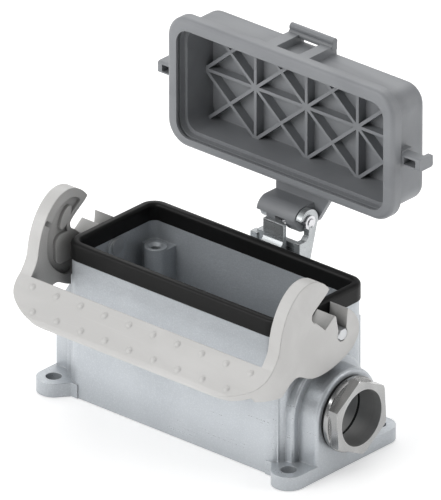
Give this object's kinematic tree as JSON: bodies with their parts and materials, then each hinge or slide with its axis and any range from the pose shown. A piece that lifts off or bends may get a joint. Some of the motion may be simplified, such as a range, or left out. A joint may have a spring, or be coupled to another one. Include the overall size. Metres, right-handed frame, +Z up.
{
  "type": "surface-mounting connector housing base",
  "caption": "Rectangular die-cast connector base for surface mounting, with side cable entry, rim seal, U-shaped locking lever and hinged protective cover.",
  "frame": {"origin": "middle of the four fixing holes, on the mounting plane", "axes": "+X towards the cable entry, -Y the side of the opened locking lever, +Y the cover's hinge side, +Z up from the mounting surface"},
  "size_m": [0.1235, 0.0964, 0.1244],
  "materials": {
    "casting": "fine-grained die-cast skin with a thin grey coat",
    "lever_plastic": "light warm grey, lightly textured",
    "cover_plastic": "mid grey, satin moulding",
    "gasket_rubber": "matte black with soft edges",
    "seal_rubber": "matte black",
    "nickel": "nickel-plated brass, turned",
    "bracket_metal": "light grey, satin",
    "pin_steel": "bright zinc-plated steel",
    "stud_steel": "bright steel"
  },
  "bodies": {
    "base": {"housing": "casting", "rim_gasket": "gasket_rubber", "lever_studs": "stud_steel", "hinge_bracket": "bracket_metal", "bracket_rivets": "bracket_metal", "hinge_pin": "pin_steel", "pin_ring": "pin_steel", "cover_spring": "pin_steel", "cable_adaptor": "nickel", "adaptor_seal": "seal_rubber", "bore_seal": "seal_rubber"},
    "lever": {"locking_lever": "lever_plastic"},
    "cover": {"cover": "cover_plastic"}
  },
  "joints": [
    {"name": "lever_pivot", "type": "hinge", "parent": "base", "child": "lever", "pos_m": [0, 0, 0.048], "axis": [-1, 0, 0], "range_deg": [0, 45]},
    {"name": "cover_hinge", "type": "hinge", "parent": "base", "child": "cover", "pos_m": [0, 0.0358, 0.0614], "axis": [1, 0, 0], "range_deg": [0, 90]}
  ]
}
